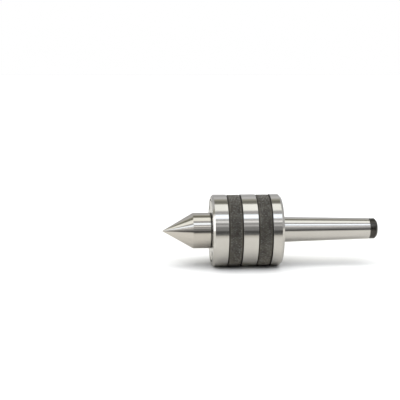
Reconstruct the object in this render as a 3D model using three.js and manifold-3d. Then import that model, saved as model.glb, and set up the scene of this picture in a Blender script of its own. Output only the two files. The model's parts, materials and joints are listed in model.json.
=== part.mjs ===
// Live center: a rotating 60 degree point carried by three rolling bearings in a round housing,
// whose rear end is a Morse taper No. 2 shank. Millimetres. X is the turning axis: the point faces -X
// and the shank +X. The origin is on the axis, at the gauge plane of the taper.

import * as THREE from 'three';
import { mergeVertices } from 'three/addons/utils/BufferGeometryUtils.js';
import Module from 'manifold-3d';

const wasm = await Module();
wasm.setup();

// ---- Driving dimensions ----

// Gaps between neighbours. A fitted face is set back by HALF_GAP on each side of its nominal size.
const GAP = 0.3;
const HALF_GAP = GAP / 2;
const NECK_CLEARANCE = 1;           // spindle's neck to the cover's bore

// Morse taper No. 2 shank
const GAUGE_RADIUS = 17.78 / 2;
const TAPER_SLOPE = 0.04995 / 2;    // loss of radius for each mm along the axis
const REAR_FACE_X = -5;             // the housing's rear face stands off the gauge plane
const SHANK_END_X = 64.4;
const BLACK_END_LENGTH = 5.7;       // unground end of the shank
const BLACK_END_RADIUS = 7.3;
const BLACK_END_BEVEL = 1.6;
const BLACK_END_BEVEL_DROP = 1.7;

// Centre holes in the shank's end and in the spindle's end
const CENTRE_HOLE_ANGLE = Math.PI / 6;
const SHANK_HOLE_RADIUS = 3.2;
const SHANK_PILOT_RADIUS = 1.25;
const SHANK_PILOT_DEPTH = 2.6;
const SPINDLE_HOLE_RADIUS = 1.6;

// Barrel of the housing
const BARREL_RADIUS = 25.4;
const FRONT_FACE_X = -54.2;
const FRONT_BEVEL = 1.4;
const REAR_BEVEL = 1.8;
const BANDS = [                     // knurled grip bands, measured back from the front face
  { start: 10.6, end: 20.8 },
  { start: 31.1, end: 41.3 },
];
const LAND_EASE = 0.03;             // how far the lands' edges beside the bands are ground below the rest
const BAND_DEPTH = 0.3;
const GROOVE_WIDTH = 0.75;          // thin turned groove at each edge of a band
const GROOVE_DEPTH = 0.8;

// Point and spindle
const NOSE_RADIUS = 12.6;
const NOSE_REACH = 12.9;            // from the cylinder's front end to the housing's front face
const NOSE_GAP = 0.55;              // the nose runs just in front of the cover
const NECK_RADIUS = 11.4;
const POINT_HALF_ANGLE = Math.PI / 6;
const SPINDLE_END_X = -9.75;
const SPINDLE_END_BEVEL = 0.5;

// Front cover
const COVER_RADIUS = 21.7;
const COVER_THICKNESS = 7;
const EDGE_BREAK = 0.35;
const SPANNER_HOLE_RADIUS = 1.6;
const SPANNER_HOLE_DEPTH = 3;
const SPANNER_HOLE_CIRCLE = 17.8;
const SPANNER_HOLE_ANGLE = Math.PI / 5;

// Seal ring, seated in the rear of the cover
const SEAL_RADIUS = 16;
const SEAL_WIDTH = 3.6;
const SEAL_LIP_DEPTH = 1.2;

// Deep groove ball bearings: bore 20, outside 42, width 12, and bore 12, outside 28, width 8
const FRONT_BEARING = { boreRadius: 10, outerRadius: 21, width: 12, ballRadius: 3.175, balls: 9 };
const REAR_BEARING = { boreRadius: 6, outerRadius: 14, width: 8, ballRadius: 2.381, balls: 8 };
const RACE_SHOULDER = 0.6;          // race shoulders, as a part of the ball's radius off the pitch circle
const RING_BEVEL = 0.6;
const CAGE_WALL = 0.9;              // cage material beside each pocket

// Thrust ball bearing: bore 20, outside 35, height 10
const THRUST = {
  boreRadius: 10, outerRadius: 17.5, height: 10, washer: 3, ballRadius: 2.778, balls: 12,
  cageThickness: 2, boreStep: 0.5,
};

// Spacer sleeve, and the play behind the rear bearing
const SPACER_LENGTH = 3.2;
const SPACER_RADIUS = 13.3;
const POCKET_BOTTOM_X = -9;
const POCKET_RADIUS = 10;
const REAR_BEARING_X = -20;         // front face of the rear bearing

// Circlip on the spindle's end
const CIRCLIP = {
  thickness: 0.9, innerRadius: 5.8, outerRadius: 7.5, lugRadius: 1.25, eyeRadius: 0.55,
  lugCircle: 7.6, mouthHalfAngle: 0.42,
};
const GROOVE_RADIUS = 5.5;

// Facets around the axis, and how far cutting goes
const OUTSIDE_SIDES = 48;
const INSIDE_SIDES = 28;
const RACE_STEPS = 5;
const POCKET_SIDES = 10;
const OVERCUT = 2;                  // length of a through cutter, as a part of what it cuts
const MERGE_DISTANCE = 1e-4;        // vertices closer than this are one

// ---- Places along the axis, worked out from the sizes above ----

const COVER_REAR_X = FRONT_FACE_X + COVER_THICKNESS;
const FRONT_BEARING_X = COVER_REAR_X;
const FRONT_BEARING_END_X = FRONT_BEARING_X + FRONT_BEARING.width;
const THRUST_X = FRONT_BEARING_END_X + SPACER_LENGTH;
const THRUST_END_X = THRUST_X + THRUST.height;
const THRUST_BALL_X = THRUST_X + THRUST.height / 2;
const REAR_BEARING_END_X = REAR_BEARING_X + REAR_BEARING.width;
const NOSE_FRONT_X = FRONT_FACE_X - NOSE_REACH;
const POINT_X = NOSE_FRONT_X - NOSE_RADIUS / Math.tan(POINT_HALF_ANGLE);

// ---- Materials ----

const metal = (color, roughness) => new THREE.MeshStandardMaterial({ color, roughness, metalness: 1 });

const groundSteel = () => metal(0xc9c6c0, 0.25);
const coverSteel = () => metal(0xb4b1ab, 0.35);
const hardenedSteel = () => metal(0xcfccc6, 0.18);
const bearingSteel = () => metal(0xbfc1c4, 0.12);
const pressedSteel = () => metal(0xa8a8a6, 0.45);
const blackenedSteel = () => metal(0x3a3834, 0.55);
const brass = () => metal(0xb8923f, 0.35);
const sealRubber = () => new THREE.MeshStandardMaterial({ color: 0x1b1b1c, roughness: 0.8, metalness: 0 });

// ---- Solids ----

function named(name, geometry, material) {
  const mesh = new THREE.Mesh(geometry, material);
  mesh.name = name;
  return mesh;
}

// Turned solid: an outline of [x, radius] points, revolved about the X axis. It starts and ends on the
// axis, or it is a ring and closes on itself. A flat side faces straight down.
function turned(outline, sides, isRing = true) {
  const closed = isRing ? [...outline, outline[0]] : outline;
  let area = 0;
  outline.forEach(([x, r], i) => {
    const [nextX, nextR] = outline[(i + 1) % outline.length];
    area += x * nextR - nextX * r;
  });
  const ordered = area < 0 ? closed : [...closed].reverse();
  const points = ordered.map(([x, r]) => new THREE.Vector2(r, x));
  const geometry = new THREE.LatheGeometry(points, sides, Math.PI / sides);
  return geometry.rotateZ(-Math.PI / 2);
}

function toManifold(geometry) {
  const plain = geometry.clone();
  plain.deleteAttribute('normal');
  plain.deleteAttribute('uv');
  const merged = mergeVertices(plain, MERGE_DISTANCE);
  return new wasm.Manifold(new wasm.Mesh({
    numProp: 3,
    vertProperties: new Float32Array(merged.attributes.position.array),
    triVerts: new Uint32Array(merged.index.array),
  }));
}

function toGeometry(manifold) {
  const { vertProperties, triVerts } = manifold.getMesh();
  const geometry = new THREE.BufferGeometry();
  geometry.setAttribute('position', new THREE.BufferAttribute(vertProperties, 3));
  geometry.setIndex(new THREE.BufferAttribute(triVerts, 1));
  geometry.computeVertexNormals();
  return geometry;
}

function cut(geometry, cutters) {
  const body = toManifold(geometry);
  return toGeometry(cutters.reduce((rest, cutter) => rest.subtract(toManifold(cutter)), body));
}

// The arc of a race around a ball's centre, from one face or shoulder to the other
function raceArc(centreX, centreR, radius, fromAngle, toAngle) {
  return Array.from({ length: RACE_STEPS + 1 }, (_, i) => {
    const angle = fromAngle + (toAngle - fromAngle) * (i / RACE_STEPS);
    return [centreX + radius * Math.cos(angle), centreR + radius * Math.sin(angle)];
  });
}

function aroundAxis(count, radius, place) {
  return Array.from({ length: count }, (_, i) => {
    const angle = (i / count) * 2 * Math.PI;
    return place(radius * Math.sin(angle), radius * Math.cos(angle), angle, i + 1);
  });
}

function ballRing(prefix, count, pitchRadius, ballRadius, x) {
  return aroundAxis(count, pitchRadius, (y, z, angle, number) => {
    const ball = named(`${prefix}_${number}`, new THREE.IcosahedronGeometry(ballRadius, 1), bearingSteel());
    ball.position.set(x, y, z);
    ball.rotation.x = -angle;
    return ball;
  });
}

// ---- Housing: barrel and Morse taper shank, one piece of steel ----

const taperRadius = (x) => GAUGE_RADIUS - TAPER_SLOPE * x;

function bandOutline({ start, end }) {
  const [front, rear] = [FRONT_FACE_X + start, FRONT_FACE_X + end];
  const landRadius = BARREL_RADIUS - LAND_EASE;
  const bandRadius = BARREL_RADIUS - BAND_DEPTH;
  const grooveRadius = BARREL_RADIUS - GROOVE_DEPTH;
  return [
    [front, landRadius],
    [front, grooveRadius],
    [front + GROOVE_WIDTH, grooveRadius],
    [front + GROOVE_WIDTH, bandRadius],
    [rear - GROOVE_WIDTH, bandRadius],
    [rear - GROOVE_WIDTH, grooveRadius],
    [rear, grooveRadius],
    [rear, landRadius],
  ];
}

function boreOutline() {
  const rearSeat = REAR_BEARING.outerRadius + HALF_GAP;
  const thrustSeat = THRUST.outerRadius + HALF_GAP;
  const frontSeat = FRONT_BEARING.outerRadius + HALF_GAP;
  const coverSeat = COVER_RADIUS + HALF_GAP;
  return [
    [POCKET_BOTTOM_X, 0],
    [POCKET_BOTTOM_X, POCKET_RADIUS],
    [REAR_BEARING_END_X + HALF_GAP, POCKET_RADIUS],
    [REAR_BEARING_END_X + HALF_GAP, rearSeat],
    [THRUST_END_X + HALF_GAP, rearSeat],
    [THRUST_END_X + HALF_GAP, thrustSeat],
    [FRONT_BEARING_END_X + HALF_GAP, thrustSeat],
    [FRONT_BEARING_END_X + HALF_GAP, frontSeat],
    [COVER_REAR_X, frontSeat],
    [COVER_REAR_X, coverSeat],
    [FRONT_FACE_X + EDGE_BREAK, coverSeat],
    [FRONT_FACE_X, coverSeat + EDGE_BREAK],
  ];
}

function shankOutline() {
  const blackX = SHANK_END_X - BLACK_END_LENGTH;
  const mouthLength = (SHANK_HOLE_RADIUS - SHANK_PILOT_RADIUS) / Math.tan(CENTRE_HOLE_ANGLE);
  const pilotEndX = SHANK_END_X - mouthLength - SHANK_PILOT_DEPTH;
  return [
    [REAR_FACE_X, taperRadius(REAR_FACE_X)],
    [blackX, taperRadius(blackX)],
    [blackX, BLACK_END_RADIUS],
    [SHANK_END_X - BLACK_END_BEVEL, BLACK_END_RADIUS],
    [SHANK_END_X, BLACK_END_RADIUS - BLACK_END_BEVEL_DROP],
    [SHANK_END_X, SHANK_HOLE_RADIUS],
    [SHANK_END_X - mouthLength, SHANK_PILOT_RADIUS],
    [pilotEndX, SHANK_PILOT_RADIUS],
    [pilotEndX - SHANK_PILOT_RADIUS * Math.tan(CENTRE_HOLE_ANGLE), 0],
  ];
}

function makeHousing() {
  const outline = [
    ...boreOutline(),
    [FRONT_FACE_X, BARREL_RADIUS - FRONT_BEVEL],
    [FRONT_FACE_X + FRONT_BEVEL, BARREL_RADIUS],
    ...BANDS.flatMap(bandOutline),
    [REAR_FACE_X - REAR_BEVEL, BARREL_RADIUS],
    [REAR_FACE_X, BARREL_RADIUS - REAR_BEVEL],
    ...shankOutline(),
  ];
  return named('housing', turned(outline, OUTSIDE_SIDES, false), groundSteel());
}

// ---- Front cover and seal ----

function makeFrontCover() {
  const radius = COVER_RADIUS - HALF_GAP;
  const bore = NECK_RADIUS + NECK_CLEARANCE;
  const seatX = COVER_REAR_X - SEAL_WIDTH - GAP;
  const rearX = COVER_REAR_X - HALF_GAP;
  const ring = turned([
    [FRONT_FACE_X, bore + EDGE_BREAK],
    [FRONT_FACE_X, radius - EDGE_BREAK],
    [FRONT_FACE_X + EDGE_BREAK, radius],
    [rearX, radius],
    [rearX, SEAL_RADIUS + HALF_GAP],
    [seatX, SEAL_RADIUS + HALF_GAP],
    [seatX, bore],
    [FRONT_FACE_X + EDGE_BREAK, bore],
  ], OUTSIDE_SIDES);
  const holes = [0, Math.PI].map((turn) => {
    const angle = SPANNER_HOLE_ANGLE + turn;
    const hole = new THREE.CylinderGeometry(
      SPANNER_HOLE_RADIUS, SPANNER_HOLE_RADIUS, 2 * SPANNER_HOLE_DEPTH, POCKET_SIDES,
    );
    hole.rotateZ(-Math.PI / 2);
    const [y, z] = [SPANNER_HOLE_CIRCLE * Math.sin(angle), SPANNER_HOLE_CIRCLE * Math.cos(angle)];
    return hole.translate(FRONT_FACE_X, y, z);
  });
  return named('front_cover', cut(ring, holes), coverSteel());
}

function makeSeal() {
  const lip = NECK_RADIUS + GAP;
  const front = COVER_REAR_X - SEAL_WIDTH;
  const rear = COVER_REAR_X - GAP;
  return named('oil_seal', turned([
    [front, lip + SEAL_LIP_DEPTH / 2],
    [front, SEAL_RADIUS - HALF_GAP],
    [rear, SEAL_RADIUS - HALF_GAP],
    [rear, lip + SEAL_LIP_DEPTH],
    [(front + rear) / 2, lip + SEAL_LIP_DEPTH],
    [front + SEAL_LIP_DEPTH / 2, lip],
  ], INSIDE_SIDES), sealRubber());
}

// ---- Spindle with its point ----

function makeSpindle() {
  const journal = FRONT_BEARING.boreRadius - HALF_GAP;
  const tail = REAR_BEARING.boreRadius - HALF_GAP;
  const noseEndX = FRONT_FACE_X - NOSE_GAP;
  const shoulderX = FRONT_BEARING_X - HALF_GAP;
  const tailX = REAR_BEARING_X - HALF_GAP;
  const grooveX = REAR_BEARING_END_X - HALF_GAP;
  const grooveEndX = grooveX + CIRCLIP.thickness + 2 * GAP;
  return named('spindle', turned([
    [POINT_X, 0],
    [NOSE_FRONT_X, NOSE_RADIUS],
    [noseEndX, NOSE_RADIUS],
    [noseEndX, NECK_RADIUS],
    [shoulderX - EDGE_BREAK, NECK_RADIUS],
    [shoulderX, NECK_RADIUS - EDGE_BREAK],
    [shoulderX, journal],
    [tailX - EDGE_BREAK, journal],
    [tailX, journal - EDGE_BREAK],
    [tailX, tail],
    [grooveX, tail],
    [grooveX, GROOVE_RADIUS],
    [grooveEndX, GROOVE_RADIUS],
    [grooveEndX, tail],
    [SPINDLE_END_X - SPINDLE_END_BEVEL, tail],
    [SPINDLE_END_X, tail - SPINDLE_END_BEVEL],
    [SPINDLE_END_X, SPINDLE_HOLE_RADIUS],
    [SPINDLE_END_X - SPINDLE_HOLE_RADIUS / Math.tan(CENTRE_HOLE_ANGLE), 0],
  ], OUTSIDE_SIDES, false), hardenedSteel());
}

// ---- Deep groove ball bearings ----

function ballBearing(prefix, { boreRadius, outerRadius, width, ballRadius, balls }, frontX) {
  const pitch = (boreRadius + outerRadius) / 2;
  const x = frontX + width / 2;
  const shoulder = ballRadius * RACE_SHOULDER;
  const race = ballRadius + GAP;
  const raceAngle = Math.asin(shoulder / race);
  const [front, rear] = [frontX + HALF_GAP, frontX + width - HALF_GAP];
  const [bore, outside] = [boreRadius + HALF_GAP, outerRadius - HALF_GAP];

  const innerRing = turned([
    [front, pitch - shoulder],
    [front, bore + RING_BEVEL],
    [front + RING_BEVEL, bore],
    [rear - RING_BEVEL, bore],
    [rear, bore + RING_BEVEL],
    [rear, pitch - shoulder],
    ...raceArc(x, pitch, race, -raceAngle, raceAngle - Math.PI),
  ], INSIDE_SIDES);
  const outerRing = turned([
    [rear, pitch + shoulder],
    [rear, outside - RING_BEVEL],
    [rear - RING_BEVEL, outside],
    [front + RING_BEVEL, outside],
    [front, outside - RING_BEVEL],
    [front, pitch + shoulder],
    ...raceArc(x, pitch, race, Math.PI - raceAngle, raceAngle),
  ], INSIDE_SIDES);

  const halfCage = race + CAGE_WALL;
  const cageRing = turned([
    [x - halfCage, pitch - shoulder + GAP],
    [x - halfCage, pitch + shoulder - GAP],
    [x + halfCage, pitch + shoulder - GAP],
    [x + halfCage, pitch - shoulder + GAP],
  ], INSIDE_SIDES);
  const pockets = aroundAxis(balls, pitch, (y, z, angle) => {
    const pocket = new THREE.CylinderGeometry(race, race, OVERCUT * 2 * shoulder, POCKET_SIDES);
    pocket.rotateX(Math.PI / 2);
    pocket.rotateX(-angle);
    return pocket.translate(x, y, z);
  });
  return {
    inner: named(`${prefix}_bearing_inner_ring`, innerRing, bearingSteel()),
    outer: named(`${prefix}_bearing_outer_ring`, outerRing, bearingSteel()),
    rolling: [
      named(`${prefix}_bearing_cage`, cut(cageRing, pockets), pressedSteel()),
      ...ballRing(`${prefix}_ball`, balls, pitch, ballRadius, x),
    ],
  };
}

// ---- Thrust ball bearing ----

function thrustBearing() {
  const { boreRadius, outerRadius, washer, ballRadius, balls, cageThickness, boreStep } = THRUST;
  const pitch = (boreRadius + outerRadius) / 2;
  const race = ballRadius + GAP;
  const frontFace = THRUST_X + washer;
  const rearFace = THRUST_END_X - washer;
  const raceAngle = Math.acos((THRUST_BALL_X - frontFace) / race);
  const shaftBore = boreRadius + HALF_GAP;
  const housingBore = boreRadius + boreStep + HALF_GAP;
  const outside = outerRadius - HALF_GAP;

  const shaftWasher = turned([
    [frontFace, outside - GAP],
    [THRUST_X + HALF_GAP, outside - GAP],
    [THRUST_X + HALF_GAP, shaftBore],
    [frontFace, shaftBore],
    ...raceArc(THRUST_BALL_X, pitch, race, Math.PI + raceAngle, Math.PI - raceAngle),
  ], INSIDE_SIDES);
  const housingWasher = turned([
    [rearFace, housingBore],
    [THRUST_END_X - HALF_GAP, housingBore],
    [THRUST_END_X - HALF_GAP, outside],
    [rearFace, outside],
    ...raceArc(THRUST_BALL_X, pitch, race, raceAngle, -raceAngle),
  ], INSIDE_SIDES);

  const [cageFront, cageRear] = [THRUST_BALL_X - cageThickness / 2, THRUST_BALL_X + cageThickness / 2];
  const cageRing = turned([
    [cageFront, boreRadius + HALF_GAP],
    [cageFront, outside],
    [cageRear, outside],
    [cageRear, boreRadius + HALF_GAP],
  ], INSIDE_SIDES);
  const pockets = aroundAxis(balls, pitch, (y, z, angle) => {
    const pocket = new THREE.CylinderGeometry(race, race, OVERCUT * cageThickness, POCKET_SIDES);
    pocket.rotateZ(-Math.PI / 2);
    pocket.rotateX(-angle);
    return pocket.translate(THRUST_BALL_X, y, z);
  });
  return {
    shaft: named('thrust_shaft_washer', shaftWasher, bearingSteel()),
    housing: named('thrust_housing_washer', housingWasher, bearingSteel()),
    rolling: [
      named('thrust_bearing_cage', cut(cageRing, pockets), brass()),
      ...ballRing('thrust_ball', balls, pitch, ballRadius, THRUST_BALL_X),
    ],
  };
}

// ---- Spacer sleeve and circlip ----

function makeSpacer() {
  const [front, rear] = [FRONT_BEARING_END_X + HALF_GAP, THRUST_X - HALF_GAP];
  const bore = FRONT_BEARING.boreRadius + HALF_GAP;
  return named('spacer_sleeve', turned([
    [front, bore],
    [front, SPACER_RADIUS - EDGE_BREAK],
    [front + EDGE_BREAK, SPACER_RADIUS],
    [rear - EDGE_BREAK, SPACER_RADIUS],
    [rear, SPACER_RADIUS - EDGE_BREAK],
    [rear, bore],
  ], INSIDE_SIDES), hardenedSteel());
}

// Open spring ring with a round eye at each end of its mouth. It lies in its groove, mouth upwards.
function makeCirclip() {
  const { thickness, innerRadius, outerRadius, lugRadius, eyeRadius, lugCircle, mouthHalfAngle } = CIRCLIP;
  const mouth = Math.PI / 2;
  const [from, to] = [mouth + mouthHalfAngle, mouth - mouthHalfAngle + 2 * Math.PI];
  const ring = new THREE.Shape();
  ring.absarc(0, 0, outerRadius, from, to, false);
  ring.absarc(0, 0, innerRadius, to, from, true);
  const flat = { depth: thickness, bevelEnabled: false, curveSegments: OUTSIDE_SIDES / 2 };
  let body = toManifold(new THREE.ExtrudeGeometry(ring, flat));
  for (const angle of [from, to]) {
    const [across, up] = [lugCircle * Math.cos(angle), lugCircle * Math.sin(angle)];
    const disc = (radius, depth) => {
      const cylinder = new THREE.CylinderGeometry(radius, radius, depth, POCKET_SIDES);
      return toManifold(cylinder.rotateX(Math.PI / 2).translate(across, up, thickness / 2));
    };
    body = body.add(disc(lugRadius, thickness)).subtract(disc(eyeRadius, OVERCUT * thickness));
  }
  const circlip = named('circlip', toGeometry(body), blackenedSteel());
  circlip.rotation.set(Math.PI / 2, Math.PI / 2, 0);
  circlip.position.x = REAR_BEARING_END_X + HALF_GAP;
  return circlip;
}

// ---- Assembly ----

const frontBearing = ballBearing('front', FRONT_BEARING, FRONT_BEARING_X);
const rearBearing = ballBearing('rear', REAR_BEARING, REAR_BEARING_X);
const thrust = thrustBearing();

const housingGroup = new THREE.Group();
housingGroup.add(
  makeHousing(), makeFrontCover(), makeSeal(), frontBearing.outer, thrust.housing, rearBearing.outer,
);

const spindleGroup = new THREE.Group();
spindleGroup.add(
  makeSpindle(), frontBearing.inner, makeSpacer(), thrust.shaft, rearBearing.inner, makeCirclip(),
);

const liveCenter = new THREE.Group();
liveCenter.add(housingGroup, spindleGroup);
for (const rolling of [frontBearing.rolling, thrust.rolling, rearBearing.rolling]) {
  const ballSet = new THREE.Group();
  ballSet.add(...rolling);
  liveCenter.add(ballSet);
}

export default liveCenter;
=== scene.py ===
"""Looks of the live center: fine turned surfaces, the knurl and the materials, built around the CAD frame.

Metres. X is the turning axis: the point faces -X, the shank +X.
"""

import json
import math

import bmesh
import bpy
import numpy as np
from mathutils import Matrix, Vector


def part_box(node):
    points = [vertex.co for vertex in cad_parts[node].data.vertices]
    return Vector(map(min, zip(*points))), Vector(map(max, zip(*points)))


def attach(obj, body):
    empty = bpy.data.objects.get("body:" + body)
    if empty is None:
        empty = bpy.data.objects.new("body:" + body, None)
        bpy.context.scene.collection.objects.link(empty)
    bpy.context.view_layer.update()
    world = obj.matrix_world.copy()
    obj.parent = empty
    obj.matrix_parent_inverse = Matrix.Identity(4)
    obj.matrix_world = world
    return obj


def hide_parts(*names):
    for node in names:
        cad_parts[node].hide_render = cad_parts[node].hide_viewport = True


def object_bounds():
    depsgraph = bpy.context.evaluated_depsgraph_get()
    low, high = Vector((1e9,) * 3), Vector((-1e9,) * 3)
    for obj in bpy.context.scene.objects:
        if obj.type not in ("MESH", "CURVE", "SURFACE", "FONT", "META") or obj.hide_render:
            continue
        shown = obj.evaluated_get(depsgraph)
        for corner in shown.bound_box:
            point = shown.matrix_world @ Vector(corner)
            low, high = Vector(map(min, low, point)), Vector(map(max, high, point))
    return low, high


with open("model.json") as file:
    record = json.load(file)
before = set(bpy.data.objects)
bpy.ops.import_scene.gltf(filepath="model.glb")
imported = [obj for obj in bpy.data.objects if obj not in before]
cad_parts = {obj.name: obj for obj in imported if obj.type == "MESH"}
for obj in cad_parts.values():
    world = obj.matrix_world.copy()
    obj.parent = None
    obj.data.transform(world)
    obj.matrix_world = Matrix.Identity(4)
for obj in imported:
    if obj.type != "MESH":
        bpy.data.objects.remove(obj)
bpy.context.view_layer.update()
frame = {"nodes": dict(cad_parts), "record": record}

MM = 0.001

# ---- Sizes that the CAD frame doesn't hold ----

BARREL_SIDES = 224              # flat sides of the fine turned surfaces
RING_SIDES = 128
CORNER_RADIUS = 0.15 * MM       # broken edges of turned parts
LAND_RADIUS = 0.12 * MM         # edges of the ground lands
TIP_RADIUS = 0.05 * MM          # worn tip of the point
CORNER_SHARE = 0.45             # the most of a side that the arc at its end takes up
CORNER_STEPS = 4                # lengths that an arc at a corner is made of
CURVE_STEPS = 4                 # lengths between two points of a curve
SLIGHT_TURN = math.radians(24)  # a bend of less than this is part of a curve
STRAIGHT_TURN = math.radians(5) # and a bend of less than this leaves its sides straight
TINY = 0.001 * MM               # points nearer than this are one
ON_AXIS = 1e-8                  # metres from the axis that still count as on it

KNURL_PITCH = 1.2 * MM          # around the barrel
KNURL_ANGLE = math.radians(30)  # the grooves' lean from the axis
KNURL_DEPTH = 0.4 * MM
KNURL_FLAT = 0.4                # flattened share of each diamond
KNURL_WORN_DEPTH = 0.1 * MM     # how far below the diamonds' tops the wear reaches
SEAT_DEPTH = 0.4 * MM           # how far a band's ring is let into the barrel, below its grooves
PLUG_DEPTH = 2.4 * MM           # how far the black end is let into the ground shank
PLUG_WALL = 0.25 * MM
BLACK_END_ROUNDING = 1.0 * MM   # the black end's edges are rounder than the ground ones
SMALL_GAP = 0.01 * MM           # between pieces that are let into each other

POCKET_CLEARANCE = 0.2 * MM     # cage pocket to ball
POCKET_EDGE = 0.02 * MM         # rounding of the edges that a pocket or a hole starts with
POCKET_SIDES = 48
BALL_SUBDIVISIONS = 4
SHARP_TURN = math.radians(30)   # faces that meet at more than this keep a sharp edge
HOLE_RADIUS = 1.6 * MM          # the cover's two holes for a pin spanner
HOLE_DEPTH = 2.8 * MM
HOLE_CIRCLE = 17.8 * MM         # radius that their centres lie on
HOLE_ANGLE = math.pi / 5        # from straight up, towards +Y
HOLE_BEVEL = 0.25 * MM
CUTTER_PROUD = 1.0 * MM         # how far a cutter stands out of what it cuts
HOLE_MARGIN = 2.3 * MM          # how far from their centres the face around the holes is one with them
DARK_DEPTH = 3.4 * MM           # how far behind the front face the gaps are painted dark, with oily dirt and painted shade
NOSE_REACH = 1.0 * MM           # the nose's back is nearer to the front face than this

FACE_LEAN = 0.742               # a face whose normal leans more than this to the axis is a flat one

# Points of the housing's CAD outline, in order from the bottom of its bore to the shank's centre hole
BORE_POINTS = 12
BEVEL_POINTS = 2
BAND_POINTS = 8
BLACK_END_POINTS = 7


# ---- Outlines of turned parts ----

def section(node):
    """A turned CAD node's outline, as (x, radius) points in order, and whether it closes on itself."""
    mesh = bmesh.new()
    mesh.from_mesh(frame["nodes"][node].data)
    bmesh.ops.remove_doubles(mesh, verts=mesh.verts, dist=TINY)
    # The little weight on y picks one of two corners that are equally high
    outer = max(mesh.verts, key=lambda v: v.co.z + 0.1 * v.co.y)
    angle = math.atan2(outer.co.y, outer.co.z)

    def radius(v):
        return math.hypot(v.co.y, v.co.z)

    def on_plane(v):
        return radius(v) < TINY or abs(math.atan2(v.co.y, v.co.z) - angle) * radius(v) < 4 * TINY

    left = {v for v in mesh.verts if on_plane(v)}
    on_axis = [v for v in left if radius(v) < TINY]
    here = min(on_axis or left, key=lambda v: (abs(v.co.x), radius(v)))
    path = [here]
    left.remove(here)
    while left:
        linked = [e.other_vert(here) for e in here.link_edges if e.other_vert(here) in left]
        beside = [v for v in left if abs(v.co.x - here.co.x) < TINY]
        ahead = linked or sorted(beside, key=lambda v: abs(radius(v) - radius(here)))
        if not ahead:
            break
        here = ahead[0]
        left.remove(here)
        path.append(here)
    points = [(v.co.x, radius(v)) for v in path]
    mesh.free()
    return points, not on_axis


def counterclockwise(points):
    """The outline with its outward side on the right of the way it runs, in the (x, radius) plane."""
    area = sum(x0 * r1 - x1 * r0 for (x0, r0), (x1, r1) in zip(points, points[1:] + points[:1]))
    return points if area > 0 else points[::-1]


def rounded(points, closed, radius, tip_radius=None):
    """Turns each corner into an arc, and each run of slight bends into a curve.

    Gives (x, radius, normal x, normal radius) for each point.
    """
    points = counterclockwise(points)
    count = len(points)
    made, bends = [], []
    for i, (x, r) in enumerate(points):
        here = Vector((x, r))
        if closed or 0 < i < count - 1:
            before, after = Vector(points[i - 1]), Vector(points[(i + 1) % count])
        elif i == 0:
            after = Vector(points[1])
            before = Vector((after.x, -after.y))
        else:
            before = Vector(points[-2])
            after = Vector((before.x, -before.y))
        arriving, leaving = here - before, after - here
        shortest = min(arriving.length, leaving.length)
        arriving.normalize()
        leaving.normalize()
        normal = Vector((arriving.y, -arriving.x))
        turn = -arriving.angle_signed(leaving)
        if abs(turn) < SLIGHT_TURN:
            middle = Matrix.Rotation(turn / 2, 2) @ normal
            made.append((x, max(r, 0.0), *middle))
            bends.append(abs(turn) > STRAIGHT_TURN)
            continue
        wanted = tip_radius if tip_radius and r < TINY else radius
        reach = min(wanted * math.tan(abs(turn) / 2), CORNER_SHARE * shortest)
        arc = reach / math.tan(abs(turn) / 2)
        side = math.copysign(1, turn)
        centre = here - arriving * reach - normal * arc * side
        for step in range(CORNER_STEPS + 1):
            outward = Matrix.Rotation(turn * step / CORNER_STEPS, 2) @ normal
            at = centre + outward * arc * side
            if at.y > -ON_AXIS:
                made.append((at.x, max(at.y, 0.0), *outward))
                bends.append(False)
    return curved(made, bends, closed)


def curved(made, bends, closed):
    """The points, with more of them on a smooth curve between two neighbours that both bend."""
    finer = []
    for i, point in enumerate(made):
        finer.append(point)
        n = (i + 1) % len(made)
        if not (bends[i] and bends[n]) or (n == 0 and not closed):
            continue
        start, end = Vector(point[:2]), Vector(made[n][:2])
        from_normal, to_normal = Vector(point[2:]), Vector(made[n][2:])
        length = (end - start).length
        leave = Vector((-from_normal.y, from_normal.x)) * length
        arrive = Vector((-to_normal.y, to_normal.x)) * length
        for step in range(1, CURVE_STEPS):
            t = step / CURVE_STEPS
            at = (
                start * (2 * t**3 - 3 * t**2 + 1) + leave * (t**3 - 2 * t**2 + t)
                + end * (3 * t**2 - 2 * t**3) + arrive * (t**3 - t**2)
            )
            finer.append((at.x, at.y, *from_normal.lerp(to_normal, t).normalized()))
    return finer


def revolve(name, profile, closed, sides):
    """A mesh object of the profile turned about the X axis, with exact normals."""
    angles = np.arange(sides) * 2 * math.pi / sides
    sin, cos = np.sin(angles), np.cos(angles)
    verts, normals, rings = [], [], []
    for x, r, nx, nr in profile:
        start = len(verts)
        if r < ON_AXIS:
            verts.append((x, 0.0, 0.0))
            normals.append((math.copysign(1.0, nx), 0.0, 0.0))
            rings.append([start] * sides)
        else:
            verts.extend(zip([x] * sides, r * sin, r * cos))
            normals.extend(zip([nx] * sides, nr * sin, nr * cos))
            rings.append(list(range(start, start + sides)))
    pairs = list(zip(rings, rings[1:]))
    if closed:
        pairs.append((rings[-1], rings[0]))
    faces = []
    for first, second in pairs:
        for i in range(sides):
            j = (i + 1) % sides
            corners = [first[i], first[j], second[j], second[i]]
            face = list(dict.fromkeys(corners))
            if len(face) > 2:
                faces.append(face)
    return mesh_object(name, verts, faces, normals)


def mesh_object(name, verts, faces, normals=None):
    """An object of the corners and faces, smooth where it has normals of its own."""
    mesh = bpy.data.meshes.new(name)
    mesh.from_pydata([tuple(map(float, v)) for v in verts], [], faces)
    mesh.validate()
    if normals:
        mesh.shade_smooth()
        mesh.normals_split_custom_set_from_vertices([tuple(map(float, n)) for n in normals])
    made = bpy.data.objects.new(name, mesh)
    bpy.context.scene.collection.objects.link(made)
    return made


# ---- Pieces ----

def place(piece, body, slot, *nodes):
    """piece rides on its body and stands for the nodes; the slot is not used."""
    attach(piece, body)
    if nodes:
        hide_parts(*nodes)
    return piece


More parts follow.
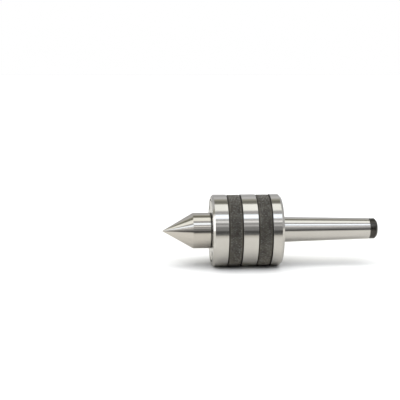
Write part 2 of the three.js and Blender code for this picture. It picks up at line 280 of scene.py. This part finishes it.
def paint(piece, *materials):
    """Gives the piece these materials, in place of those it has."""
    piece.data.materials.clear()
    for material in materials:
        piece.data.materials.append(material)


def turned(name, points, closed, radius=CORNER_RADIUS, sides=RING_SIDES, tip_radius=None):
    """The outline's solid of revolution, with its corners rounded to the radius."""
    return revolve(name, rounded(points, closed, radius, tip_radius), closed, sides)


def apply_modifiers(piece):
    """Replaces the piece's mesh by the one that its modifiers make."""
    bpy.context.view_layer.update()
    graph = bpy.context.evaluated_depsgraph_get()
    mesh = bpy.data.meshes.new_from_object(piece.evaluated_get(graph))
    piece.modifiers.clear()
    piece.data = mesh


def cutter(outline, places):
    """One mesh of the turned outline, repeated at each of the places."""
    shape = turned("cutter", outline, False, POCKET_EDGE, POCKET_SIDES)
    mesh = bmesh.new()
    for at in places:
        copy = shape.data.copy()
        copy.transform(at)
        mesh.from_mesh(copy)
        bpy.data.meshes.remove(copy)
    mesh.to_mesh(shape.data)
    mesh.free()
    return shape


def cut(piece, tool):
    """Takes the tool's shape away from the piece and smooths what is left."""
    boolean = piece.modifiers.new("cut", "BOOLEAN")
    boolean.object = tool
    boolean.solver = "EXACT"
    apply_modifiers(piece)
    bpy.data.objects.remove(tool)
    merge_slivers(piece)
    piece.data.shade_smooth()
    piece.data.set_sharp_from_angle(angle=SHARP_TURN)
    weighted = piece.modifiers.new("weighted", "WEIGHTED_NORMAL")
    weighted.keep_sharp = True
    apply_modifiers(piece)


def merge_slivers(piece):
    """Closes up the faces that are too thin to see."""
    mesh = bmesh.new()
    mesh.from_mesh(piece.data)
    bmesh.ops.remove_doubles(mesh, verts=mesh.verts, dist=TINY)
    bmesh.ops.dissolve_degenerate(mesh, edges=mesh.edges, dist=TINY)
    bmesh.ops.triangulate(mesh, faces=[face for face in mesh.faces if len(face.verts) > 4])
    bmesh.ops.dissolve_degenerate(mesh, edges=mesh.edges, dist=TINY)
    mesh.to_mesh(piece.data)
    mesh.free()


def balls_mesh(name, centres, radius):
    """One mesh of round balls at the centres."""
    mesh = bmesh.new()
    for centre in centres:
        bmesh.ops.create_icosphere(
            mesh, subdivisions=BALL_SUBDIVISIONS, radius=radius, matrix=Matrix.Translation(centre)
        )
    data = bpy.data.meshes.new(name)
    mesh.to_mesh(data)
    mesh.free()
    data.shade_smooth()
    made = bpy.data.objects.new(name, data)
    bpy.context.scene.collection.objects.link(made)
    return made


def ball_places(nodes):
    """The centre of each ball, and the balls' radius."""
    centres = [sum(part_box(node), Vector()) / 2 for node in nodes]
    corner = frame["nodes"][nodes[0]].data.vertices[0].co
    return centres, (corner - centres[0]).length


# ---- Materials ----

RADIUS_WEIGHT = 1.37            # lets tool marks run on from a cylinder over a face or a cone

# Linear colours of what isn't bright steel, and factors on the colours of the record's steels
KNURL_COLOR = (0.116, 0.107, 0.091)
# Near black for narrow gaps, grooves and recesses: oily dirt and painted shade
DIRT_AND_SHADE_COLOR, DUSTY_DIRT_AND_SHADE_COLOR = (0.008, 0.008, 0.007), (0.022, 0.02, 0.017)
RUBBER_COLOR, DUSTY_RUBBER_COLOR = (0.012, 0.012, 0.013), (0.035, 0.034, 0.033)
BRASS_COLOR, TARNISH_COLOR = (0.62, 0.44, 0.17), (0.48, 0.31, 0.11)
HARDENED_SHADE = (0.87, 0.857, 0.831)   # the point is a little darker and warmer than the record's steel
BLACK_END_SHADE = 1.15

KNURL_METALLIC = 0.8            # less than 1, for the oil and dust in the knurl
KNURL_ROUGHNESS = 0.45
DIRT_AND_SHADE_SPECULAR = 0.15
EDGE_WEAR = 0.6                 # how far worn edges go to the brighter colour
BLACK_EDGE_WEAR = 0.35


class NodeTree:
    """Short ways to add nodes to a material's or a world's tree."""

    def __init__(self, tree):
        self.tree = tree

    def feed(self, socket, value):
        """Gives the socket another node's output, or a constant."""
        if isinstance(value, bpy.types.NodeSocket):
            self.tree.links.new(value, socket)
        else:
            socket.default_value = value

    def node(self, kind, settings=None, **inputs):
        made = self.tree.nodes.new(kind)
        for key, value in (settings or {}).items():
            setattr(made, key, value)
        for key, value in inputs.items():
            self.feed(made.inputs[key.replace("_", " ")], value)
        return made

    def math(self, operation, first, second):
        made = self.node("ShaderNodeMath", {"operation": operation})
        self.feed(made.inputs[0], first)
        self.feed(made.inputs[1], second)
        return made.outputs[0]

    def mapped(self, value, low, high, to_low, to_high):
        made = self.node(
            "ShaderNodeMapRange", Value=value, From_Min=low, From_Max=high, To_Min=to_low, To_Max=to_high
        )
        return made.outputs[0]

    def blend(self, factor, first, second):
        """The first colour where the factor is 0, the second where it is 1."""
        made = self.node("ShaderNodeMix", {"data_type": "RGBA"})
        colors = [socket for socket in made.inputs if socket.type == "RGBA"]
        self.feed(made.inputs[0], factor)
        self.feed(colors[0], first)
        self.feed(colors[1], second)
        return next(socket for socket in made.outputs if socket.type == "RGBA")


class Finish(NodeTree):
    """A material, with textures that follow the object's surfaces around the turning axis."""

    def __init__(self, name, metallic=1.0):
        self.material = bpy.data.materials.new(name)
        self.material.use_nodes = True
        super().__init__(self.material.node_tree)
        self.shader = self.tree.nodes["Principled BSDF"]
        self.shader.inputs["Metallic"].default_value = metallic
        self.position = self.node("ShaderNodeTexCoord").outputs["Object"]
        split = self.node("ShaderNodeSeparateXYZ", Vector=self.position)
        flat = self.node("ShaderNodeCombineXYZ", Y=split.outputs["Y"], Z=split.outputs["Z"])
        length = self.node("ShaderNodeVectorMath", {"operation": "LENGTH"}, Vector=flat.outputs[0])
        self.radius = length.outputs["Value"]
        self.along = self.math("ADD", split.outputs["X"], self.math("MULTIPLY", self.radius, RADIUS_WEIGHT))

    def noise(self, size, detail=3.0, roughness=0.55, stretch=(1, 1, 1)):
        """Cloudy noise, 0 to 1, whose spots are about size across, in metres."""
        scaled = self.node("ShaderNodeMapping", Vector=self.position, Scale=stretch).outputs[0]
        made = self.node(
            "ShaderNodeTexNoise", Vector=scaled, Scale=1 / size, Detail=detail, Roughness=roughness
        )
        return made.outputs["Fac"]

    def tool_marks(self, width, detail=4.0):
        """Fine rings around the axis, as turning and grinding leave them, on cylinders, cones and faces."""
        place_along = self.math("MULTIPLY", self.along, 1 / width)
        made = self.node("ShaderNodeTexNoise", {"noise_dimensions": "1D"}, W=place_along, Detail=detail)
        return made.outputs["Fac"]

    def edges(self, low=0.51, high=0.56):
        """1 on outer edges, 0 elsewhere."""
        pointed = self.node("ShaderNodeNewGeometry").outputs["Pointiness"]
        return self.mapped(pointed, low, high, 0.0, 1.0)

    def finish(self, color, roughness, height, depth):
        """Links the colour, the roughness and a bump of the height field that is depth deep."""
        bump = self.node("ShaderNodeBump", Height=height, Distance=depth)
        for socket, value in (("Base Color", color), ("Roughness", roughness), ("Normal", bump.outputs[0])):
            self.tree.links.new(value, self.shader.inputs[socket])
        return self.material


def shade(color, factor=1.0):
    """The colour times the factor, with the alpha that a colour socket takes."""
    return tuple(min(c * factor, 1.0) for c in color) + (1.0,)


def worked_steel(name, color, roughness, mark_width, mark_depth, spread=0.05):
    """Bright steel with tool marks around the axis, faint stains and brighter worn edges."""
    made = Finish(name)
    marks = made.tool_marks(mark_width)
    stains = made.noise(9 * MM, stretch=(0.5, 1, 1))
    smears = made.noise(2.2 * MM, detail=5.0, stretch=(2.5, 1, 1))
    tone = made.mapped(stains, 0.3, 0.7, 0.0, 0.7)
    tone = made.math("ADD", tone, made.mapped(marks, 0.3, 0.7, 0.0, 0.3))
    stained = made.blend(tone, shade(color, 0.93), shade(color, 1.03))
    colored = made.blend(made.math("MULTIPLY", made.edges(), EDGE_WEAR), stained, shade(color, 1.15))
    rough = made.math("ADD", made.mapped(marks, 0.3, 0.7, -spread / 2, spread / 2), roughness)
    rough = made.math("ADD", rough, made.mapped(smears, 0.35, 0.75, 0.0, spread))
    return made.finish(colored, rough, marks, mark_depth)


def blackened_steel(name, color, roughness):
    """Black-oxided steel: uneven, with bare steel showing on worn edges."""
    made = Finish(name)
    marks = made.tool_marks(0.35 * MM)
    patches = made.noise(4 * MM, detail=5.0)
    grain = made.noise(0.25 * MM, detail=2.0)
    tone = made.blend(made.mapped(patches, 0.3, 0.7, 0.0, 1.0), shade(color, 0.8), shade(color, 1.25))
    worn = made.math("MULTIPLY", made.edges(0.52, 0.6), BLACK_EDGE_WEAR)
    colored = made.blend(worn, tone, shade(BARE))
    rough = made.math("ADD", made.mapped(grain, 0.3, 0.7, -0.04, 0.04), roughness)
    return made.finish(colored, rough, made.math("ADD", grain, marks), 0.003 * MM)


def knurled_steel(name, color, tip_radius):
    """Black-oxided steel under a knurl, with bare steel showing on some of the diamonds' tips."""
    made = Finish(name, KNURL_METALLIC)
    patches = made.noise(5 * MM, detail=3.0)
    grain = made.noise(0.25 * MM, detail=2.0)
    tone = made.blend(made.mapped(patches, 0.3, 0.7, 0.0, 1.0), shade(color, 0.75), shade(color, 1.25))
    on_tips = made.mapped(made.radius, tip_radius - KNURL_WORN_DEPTH, tip_radius, 0.0, 1.0)
    chance = made.mapped(made.noise(1.2 * MM, detail=1.0), 0.42, 0.68, 0.0, 1.0)
    colored = made.blend(made.math("MULTIPLY", on_tips, chance), tone, shade(BARE))
    rough = made.math("ADD", made.mapped(grain, 0.3, 0.7, -0.05, 0.05), KNURL_ROUGHNESS)
    return made.finish(colored, rough, grain, 0.003 * MM)


def dirt_and_painted_shade():
    """The dark mix of oil and dust that settles in narrow gaps and grooves, together with painted shade that
    darkens them as their own shade would.
    """
    made = Finish("dirt_and_painted_shade", metallic=0.0)
    made.shader.inputs["Specular IOR Level"].default_value = DIRT_AND_SHADE_SPECULAR
    dust = made.noise(0.6 * MM, detail=5.0)
    dusty = made.mapped(dust, 0.4, 0.75, 0.0, 1.0)
    colored = made.blend(dusty, shade(DIRT_AND_SHADE_COLOR), shade(DUSTY_DIRT_AND_SHADE_COLOR))
    rough = made.mapped(dust, 0.3, 0.7, 0.55, 0.8)
    return made.finish(colored, rough, dust, 0.01 * MM)


def seal_rubber():
    """Black nitrile rubber with a little dust on it."""
    made = Finish("nitrile_rubber", metallic=0.0)
    dust = made.noise(1.2 * MM, detail=6.0)
    dusty = made.mapped(dust, 0.45, 0.8, 0.0, 1.0)
    colored = made.blend(dusty, shade(RUBBER_COLOR), shade(DUSTY_RUBBER_COLOR))
    rough = made.mapped(dust, 0.3, 0.7, 0.55, 0.75)
    return made.finish(colored, rough, dust, 0.01 * MM)


def cage_brass():
    """Machined brass, tarnished in patches."""
    made = Finish("machined_brass")
    marks = made.tool_marks(0.2 * MM)
    tarnish = made.noise(3 * MM, detail=5.0)
    tarnished = made.mapped(tarnish, 0.35, 0.7, 0.0, 1.0)
    colored = made.blend(tarnished, shade(BRASS_COLOR), shade(TARNISH_COLOR))
    rough = made.mapped(marks, 0.3, 0.7, 0.24, 0.36)
    rough = made.math("ADD", rough, made.mapped(tarnish, 0.4, 0.7, 0.0, 0.1))
    return made.finish(colored, rough, marks, 0.003 * MM)


STEELS = {m["slot"]: tuple(m["base_color"][:3]) for m in frame["record"]["materials"]}
BARE = STEELS["pressed_steel"]
point_color = tuple(c * t for c, t in zip(STEELS["hardened_steel"], HARDENED_SHADE))
black_color = tuple(c * BLACK_END_SHADE for c in STEELS["blackened_steel"])

GROUND = worked_steel("ground_steel", STEELS["ground_steel"], 0.09, 0.3 * MM, 0.0006 * MM)
FACED = worked_steel("faced_steel", STEELS["cover_steel"], 0.22, 0.9 * MM, 0.02 * MM, 0.1)
HARDENED = worked_steel("hardened_steel", point_color, 0.08, 0.22 * MM, 0.0005 * MM)
LAPPED = worked_steel("bearing_steel", STEELS["bearing_steel"], 0.06, 0.15 * MM, 0.0002 * MM, 0.02)
PRESSED = worked_steel("pressed_steel", BARE, 0.35, 1.0 * MM, 0.002 * MM, 0.12)
BLACKENED = blackened_steel("blackened_steel", black_color, 0.27)
DIRT_AND_SHADE = dirt_and_painted_shade()
SEAL = seal_rubber()
BRASS = cage_brass()


# ---- Housing ----

def housing_outlines():
    """The housing's CAD outline, cut into the bright part, its two bands and the black end."""
    points, _ = section("housing")
    if points[0][0] > 0:
        points = points[::-1]
    head = points[: BORE_POINTS + BEVEL_POINTS]
    rest = points[BORE_POINTS + BEVEL_POINTS :]
    bands = [rest[:BAND_POINTS], rest[BAND_POINTS : 2 * BAND_POINTS]]
    rear = rest[2 * BAND_POINTS : -BLACK_END_POINTS]
    black = rest[-BLACK_END_POINTS:]
    return head, bands, rear, black


def seat_points(band):
    """The plain recess that a band's ring sits in."""
    (front, land), (_, groove), (rear, _) = band[0], band[1], band[-1]
    floor = groove - SEAT_DEPTH
    return [(front, land), (front, floor), (rear, floor), (rear, land)]


def make_housing(head, bands, rear, black):
    """The barrel and the ground shank, with a recess for each band and a socket for the black end."""
    step_x, black_radius = black[0]
    socket = [(step_x, black_radius - PLUG_WALL), (step_x - PLUG_DEPTH, black_radius - PLUG_WALL)]
    points = head + [p for band in bands for p in seat_points(band)] + rear
    points += socket + [(step_x - PLUG_DEPTH, 0.0)]
    shell = turned("housing_shell", points, False, LAND_RADIUS, BARREL_SIDES)
    finishes = [GROUND, FACED, DIRT_AND_SHADE]
    paint(shell, *finishes)
    front, land = bands[0][0]
    seam = head[BORE_POINTS - 1][1]
    for face in shell.data.polygons:
        x, radius = face.center.x, math.hypot(face.center.y, face.center.z)
        in_seat = any(band[0][0] - TINY < x < band[-1][0] + TINY for band in bands) and radius > seam
        in_bore = x < front and radius < seam
        # The bore, the seam's chamfers and the bands' recesses get painted shade along with oily dirt
        if in_bore or (in_seat and radius < land - LAND_RADIUS):
            face.material_index = finishes.index(DIRT_AND_SHADE)
        elif abs(face.normal.x) > FACE_LEAN:
            face.material_index = finishes.index(FACED)
    return place(shell, "housing", "ground_steel", "housing")


def make_black_end(black):
    """The shank's unground end, on a plug that goes into the ground part."""
    step_x, radius = black[0]
    start, shoulder = step_x - PLUG_DEPTH + SMALL_GAP, step_x + SMALL_GAP
    plug = radius - PLUG_WALL - SMALL_GAP
    points = [(start, 0.0), (start, plug), (shoulder, plug), (shoulder, radius)] + black[1:]
    end = turned("shank_black_end", points, False, BLACK_END_ROUNDING)
    paint(end, BLACKENED)
    return place(end, "housing", "blackened_steel")


def make_knurled_band(name, band):
    """A ring with a diamond knurl: two sets of grooves that lean either way leave flat-topped diamonds."""
    (front, _), (_, groove), (start, _), (_, tip) = band[:4]
    end, rear = band[4][0], band[-1][0]
    columns = round(2 * math.pi * tip / KNURL_PITCH)
    rows = 2 * round((end - start) * math.tan(KNURL_ANGLE) / KNURL_PITCH)
    valley = tip - KNURL_DEPTH
    half_angle = math.pi / columns
    half_row = (end - start) / rows
    floor = groove - SEAT_DEPTH + SMALL_GAP
    verts, faces = [], []

    def vertex(x, radius, angle):
        verts.append((x, radius * math.sin(angle), radius * math.cos(angle)))
        return len(verts) - 1

    # Groove crossings: every second point of a grid of half pitches
    crossing = {
        (i, j): vertex(start + j * half_row, valley, i * half_angle)
        for j in range(rows + 1) for i in range(2 * columns) if (i + j) % 2 == 0
    }
    for j in range(rows + 1):
        for i in range(2 * columns):
            if (i + j) % 2 == 0:
                continue
            left, right = (i - 1) % (2 * columns), (i + 1) % (2 * columns)
            if j in (0, rows):
                inner = 1 if j == 0 else rows - 1
                half = [crossing[left, j], crossing[right, j], crossing[i, inner]]
                faces.append(half if j == 0 else half[::-1])
                continue
            corners = [crossing[left, j], crossing[i, j - 1], crossing[right, j], crossing[i, j + 1]]
            x, angle = start + j * half_row, i * half_angle
            reach_x, reach_angle = half_row * KNURL_FLAT, half_angle * KNURL_FLAT
            top = [
                vertex(x, tip, angle - reach_angle), vertex(x - reach_x, tip, angle),
                vertex(x, tip, angle + reach_angle), vertex(x + reach_x, tip, angle),
            ]
            for k in range(4):
                n = (k + 1) % 4
                faces.append([corners[k], corners[n], top[n], top[k]])
            faces.append(top)

    # The plain groove at each edge, and the ring's sides and inside
    def ring(x, radius, parity):
        return [vertex(x, radius, (2 * i + parity) * half_angle) for i in range(columns)]

    last = rows % 2
    chain = [
        [crossing[2 * i, 0] for i in range(columns)],
        ring(start, groove, 0), ring(front + SMALL_GAP, groove, 0), ring(front + SMALL_GAP, floor, 0),
        ring(rear - SMALL_GAP, floor, last), ring(rear - SMALL_GAP, groove, last), ring(end, groove, last),
        [crossing[2 * i + last, rows] for i in range(columns)],
    ]
    for first, second in zip(chain, chain[1:]):
        for i in range(columns):
            n = (i + 1) % columns
            faces.append([first[n], first[i], second[i], second[n]])
    made = mesh_object(name, verts, faces)
    fix_normals(made)
    finishes = [knurled_steel(name + "_finish", KNURL_COLOR, tip), DIRT_AND_SHADE]
    paint(made, *finishes)
    # The ring's plain grooves, sides and inside get painted shade along with oily dirt
    for face in made.data.polygons:
        if not start < face.center.x < end:
            face.material_index = finishes.index(DIRT_AND_SHADE)
    return place(made, "housing", "blackened_steel")


def fix_normals(piece):
    """Turns all faces outwards."""
    mesh = bmesh.new()
    mesh.from_mesh(piece.data)
    bmesh.ops.recalc_face_normals(mesh, faces=mesh.faces)
    mesh.to_mesh(piece.data)
    mesh.free()


# ---- Cover and point ----

def split_at(points, closed, along, place):
    """The outline with a further point wherever a side passes the place.

    The sides that count run along x, where along is 0, or along the radius, where it is 1.
    """
    made = []
    sides = list(zip(points, points[1:] + points[:1]))
    for i, (here, after) in enumerate(sides):
        made.append(here)
        straight = abs(after[1 - along] - here[1 - along]) < TINY
        passes = (here[along] - place) * (after[along] - place) < 0
        if straight and passes and (closed or i + 1 < len(points)):
            made.append((place, here[1]) if along == 0 else (here[0], place))
    return made


def make_cover():
    """The screwed front cover, with two holes for a pin spanner."""
    points, closed = section("front_cover")
    for radius in (HOLE_CIRCLE - HOLE_MARGIN, HOLE_CIRCLE + HOLE_MARGIN):
        points = split_at(points, closed, 1, radius)
    cover = turned("cover_ring", points, closed, LAND_RADIUS, BARREL_SIDES)
    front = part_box("front_cover")[0].x
    mouth = HOLE_RADIUS + HOLE_BEVEL + CUTTER_PROUD
    hole = [
        (-CUTTER_PROUD, 0.0), (-CUTTER_PROUD, mouth), (HOLE_BEVEL, HOLE_RADIUS),
        (HOLE_DEPTH, HOLE_RADIUS), (HOLE_DEPTH + HOLE_RADIUS / 2, 0.0),
    ]
    places = []
    for angle in (HOLE_ANGLE, HOLE_ANGLE + math.pi):
        at = Vector((front, HOLE_CIRCLE * math.sin(angle), HOLE_CIRCLE * math.cos(angle)))
        places.append(Matrix.Translation(at))
    cut(cover, cutter(hole, places))
    finishes = [FACED, DIRT_AND_SHADE]
    paint(cover, *finishes)
    # The gaps' walls behind the front face get painted shade along with oily dirt
    for face in cover.data.polygons:
        flat = abs(face.normal.x) > FACE_LEAN
        dark = not flat and face.center.x < front + DARK_DEPTH
        face.material_index = finishes.index(DIRT_AND_SHADE if dark else FACED)
    return place(cover, "housing", "cover_steel", "front_cover")


def make_point():
    """The spindle with its point, painted dark where it runs into the cover: oily dirt and painted shade."""
    cover_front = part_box("front_cover")[0].x
    dark_end = cover_front + DARK_DEPTH
    points, closed = section("spindle")
    points = split_at(points, closed, 0, dark_end)
    point = turned("center_point", points, closed, CORNER_RADIUS, BARREL_SIDES, TIP_RADIUS)
    finishes = [HARDENED, DIRT_AND_SHADE]
    paint(point, *finishes)
    bore = min(math.hypot(v.co.y, v.co.z) for v in frame["nodes"]["front_cover"].data.vertices)
    for face in point.data.polygons:
        x, radius = face.center.x, math.hypot(face.center.y, face.center.z)
        behind_nose = face.normal.x > FACE_LEAN or radius < bore
        dark = behind_nose and cover_front - NOSE_REACH < x < dark_end
        face.material_index = finishes.index(DIRT_AND_SHADE if dark else HARDENED)
    return place(point, "spindle", "hardened_steel", "spindle")


# ---- Bearings, seal and other turned parts inside ----

def make_turned_parts():
    """The rings of the bearings, the seal and the sleeve between the bearings."""
    parts = [
        ("seal_ring", "oil_seal", "housing", "seal_rubber", SEAL),
        ("front_race_outer", "front_bearing_outer_ring", "housing", "bearing_steel", LAPPED),
        ("front_race_inner", "front_bearing_inner_ring", "spindle", "bearing_steel", LAPPED),
        ("spacing_collar", "spacer_sleeve", "spindle", "hardened_steel", HARDENED),
        ("thrust_race_front", "thrust_shaft_washer", "spindle", "bearing_steel", LAPPED),
        ("thrust_race_rear", "thrust_housing_washer", "housing", "bearing_steel", LAPPED),
        ("rear_race_outer", "rear_bearing_outer_ring", "housing", "bearing_steel", LAPPED),
        ("rear_race_inner", "rear_bearing_inner_ring", "spindle", "bearing_steel", LAPPED),
    ]
    for name, node, body, slot, material in parts:
        part = turned(name, *section(node))
        paint(part, material)
        place(part, body, slot, node)


def make_ball_set(bearing, body, axial, slot, material):
    """The balls of a bearing and the cage that holds them. An axial bearing's pockets run along the axis."""
    nodes = [name for name in frame["nodes"] if name.startswith(bearing + "_ball_")]
    centres, radius = ball_places(nodes)
    balls = balls_mesh(bearing + "_balls", centres, radius)
    paint(balls, LAPPED)
    place(balls, body, "bearing_steel", *nodes)

    node = bearing + "_bearing_cage"
    corners = [(v.co.x, math.hypot(v.co.y, v.co.z)) for v in frame["nodes"][node].data.vertices]
    (front, inner), (rear, outer) = map(min, zip(*corners)), map(max, zip(*corners))
    cage = turned(bearing + "_cage", [(front, inner), (front, outer), (rear, outer), (rear, inner)], True)
    reach = (rear - front if axial else outer - inner) + 2 * CUTTER_PROUD
    wide = radius + POCKET_CLEARANCE
    pocket = [(-reach, 0.0), (-reach, wide), (reach, wide), (reach, 0.0)]
    places = []
    for centre in centres:
        turn = Matrix.Identity(4)
        if not axial:
            outward = Vector((0.0, centre.y, centre.z))
            turn = outward.to_track_quat("X", "Z").to_matrix().to_4x4()
        places.append(Matrix.Translation(centre) @ turn)
    cut(cage, cutter(pocket, places))
    paint(cage, material)
    place(cage, body, slot, node)


# ---- Studio ----

# The light around the object, by elevation in degrees: from the horizon in front (0), over the top (90),
# to the horizon behind (180). Each row is where a panel starts and ends, its radiance, and its tint.
NEUTRAL, WARM, OLIVE, COOL = (1.0, 1.0, 1.0), (1.0, 1.01, 0.963), (1.0, 0.99, 0.85), (0.93, 1.0, 1.09)
PANELS = [
    (0, 7, 0.1, NEUTRAL),
    (10, 20, 0.3, NEUTRAL),
    (24.4, 25.6, 0.75, NEUTRAL),    # edge of a far panel
    (28, 32, 0.42, NEUTRAL),
    (36.9, 38.1, 1.5, NEUTRAL),     # edge of a far panel
    (40, 46, 0.66, NEUTRAL),
    (48.8, 59.8, 1.85, COOL),       # key softbox
    (62.5, 72, 0.55, NEUTRAL),
    (77, 100, 1.4, WARM),           # overhead softbox
    (103, 105, 0.4, OLIVE),
    (108, 115, 0.25, OLIVE),
    (124, 126, 0.5, OLIVE),
    (131, 141, 0.72, NEUTRAL),
    (150, 160, 0.55, NEUTRAL),
    (171, 180, 0.55, NEUTRAL),
]
SIDE_RADIANCE = 2.0                 # softbox at the point's end
SIDE_START, SIDE_FULL = 0.87, 0.93  # how far a direction leans to that end

WASH_ELEVATION = math.radians(78)   # soft light that falls on the floor and isn't mirrored in the steel
WASH_SPREAD = math.radians(80)
WASH_STRENGTH = 3.0

FLOOR_SIZE = 6.0                    # metres from the middle to each side
FLOOR_TONE = (0.7, 0.7, 0.7)
CARD_HEIGHT = 0.5 * MM              # above the floor
CARD_START, CARD_END = 0.09, 0.35   # metres in front of the axis, where the card turns dark
CARD_COVER, CARD_DARK_COVER = 0.3, 0.88     # how opaque the card is at its start and where it is dark
# Colours of the painted reflection: a warm tint near the object, dark further in front
CARD_REFLECTION_COLOR, CARD_DARK_REFLECTION_COLOR = (0.195, 0.155, 0.065), (0.02, 0.02, 0.02)

CAMERA_LENS = 83.24                 # in mm, on a 36 mm sensor
CAMERA_PLACE = (-0.10657, -0.64117, 0.12246)
CAMERA_AIM = (0.0687, 0.9856, -0.1546)


def flat_sheet(name, height, surface):
    """A level square around the axis, matt, with the surface's material."""
    size = FLOOR_SIZE
    corners = [(-size, -size, height), (size, -size, height), (size, size, height), (-size, size, height)]
    sheet = mesh_object(name, corners, [[0, 1, 2, 3]])
    surface.shader.inputs["Roughness"].default_value = 1.0
    surface.shader.inputs["Specular IOR Level"].default_value = 0.0
    paint(sheet, surface.material)
    return sheet


def make_floor(height):
    """The pale floor that the object lies on."""
    surface = Finish("pale_floor", metallic=0.0)
    surface.shader.inputs["Base Color"].default_value = shade(FLOOR_TONE)
    flat_sheet("floor", height, surface)


def make_card(height):
    """A card over the floor, seen only in reflections, that paints a reflection in the steel: warm near the
    object and dark further in front.
    """
    surface = Finish("card", metallic=0.0)
    across = surface.node("ShaderNodeSeparateXYZ", Vector=surface.position).outputs["Y"]
    dark = surface.mapped(surface.math("MULTIPLY", across, -1), CARD_START, CARD_END, 0.0, 1.0)
    cover = surface.mapped(dark, 0.0, 1.0, CARD_COVER, CARD_DARK_COVER)
    surface.feed(surface.shader.inputs["Alpha"], cover)
    color = surface.blend(dark, shade(CARD_REFLECTION_COLOR), shade(CARD_DARK_REFLECTION_COLOR))
    surface.feed(surface.shader.inputs["Base Color"], color)
    card = flat_sheet("reflected_card", height + CARD_HEIGHT, surface)
    for way in ("camera", "diffuse", "transmission", "shadow"):
        setattr(card, "visible_" + way, False)


def fill_ramp(ramp, stops):
    """Gives the colour ramp these (place, colour) stops, which are in order."""
    elements = ramp.color_ramp.elements
    while len(elements) < len(stops):
        elements.new(0.5)
    for element, (place_along, color) in zip(elements, stops):
        element.position = place_along
        element.color = color


def make_world():
    """Panels of light around the object, a softbox at the point's end, and plain white behind it all."""
    world = bpy.data.worlds.new("studio")
    bpy.context.scene.world = world
    world.use_nodes = True
    tree = NodeTree(world.node_tree)
    toward = tree.node("ShaderNodeTexCoord").outputs["Generated"]
    x, y, z = tree.node("ShaderNodeSeparateXYZ", Vector=toward).outputs
    elevation = tree.math("ARCTAN2", z, tree.math("MULTIPLY", y, -1))
    brightest = max(radiance for _, _, radiance, _ in PANELS)
    panels = tree.node("ShaderNodeValToRGB", Fac=tree.math("DIVIDE", elevation, math.pi))
    fill_ramp(panels, [
        (edge / 180, [c * radiance / brightest for c in tint] + [1.0])
        for start, end, radiance, tint in PANELS for edge in (start, end)
    ])
    leaning = tree.mapped(tree.math("MULTIPLY", x, -1), SIDE_START, SIDE_FULL, 0.0, 1.0)
    side = [SIDE_RADIANCE / brightest] * 3 + [1.0]
    light = tree.blend(leaning, panels.outputs["Color"], side)
    seen = tree.node("ShaderNodeLightPath").outputs["Is Camera Ray"]
    white = [1 / brightest] * 3 + [1.0]
    background = world.node_tree.nodes["Background"]
    tree.feed(background.inputs["Color"], tree.blend(seen, light, white))
    background.inputs["Strength"].default_value = brightest


def make_wash():
    """Soft light from high up, from the camera's side."""
    data = bpy.data.lights.new("wash", "SUN")
    data.angle = WASH_SPREAD
    data.energy = WASH_STRENGTH
    wash = bpy.data.objects.new("wash", data)
    bpy.context.scene.collection.objects.link(wash)
    falling = Vector((0.0, math.cos(WASH_ELEVATION), -math.sin(WASH_ELEVATION)))
    wash.rotation_mode = "QUATERNION"
    wash.rotation_quaternion = falling.to_track_quat("-Z", "Y")
    wash.visible_glossy = False


def make_camera():
    """The camera stands in front and above, a little to the side of the point."""
    data = bpy.data.cameras.new("camera")
    data.sensor_width = 36.0
    data.lens = CAMERA_LENS
    camera = bpy.data.objects.new("camera", data)
    bpy.context.scene.collection.objects.link(camera)
    camera.location = CAMERA_PLACE
    camera.rotation_mode = "QUATERNION"
    camera.rotation_quaternion = Vector(CAMERA_AIM).to_track_quat("-Z", "Y")
    bpy.context.scene.camera = camera


# ---- Assembly ----

head_outline, band_outlines, rear_outline, black_outline = housing_outlines()
make_housing(head_outline, band_outlines, rear_outline, black_outline)
make_black_end(black_outline)
make_knurled_band("grip_band_front", band_outlines[0])
make_knurled_band("grip_band_rear", band_outlines[1])
make_cover()
make_point()
make_turned_parts()
make_ball_set("front", "front_ball_set", False, "pressed_steel", PRESSED)
make_ball_set("rear", "rear_ball_set", False, "pressed_steel", PRESSED)
make_ball_set("thrust", "thrust_ball_set", True, "cage_brass", BRASS)
paint(frame["nodes"]["circlip"], BLACKENED)

floor_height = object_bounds()[0].z
make_floor(floor_height)
make_card(floor_height)
make_world()
make_wash()
make_camera()
bpy.context.scene.view_settings.view_transform = "Standard"
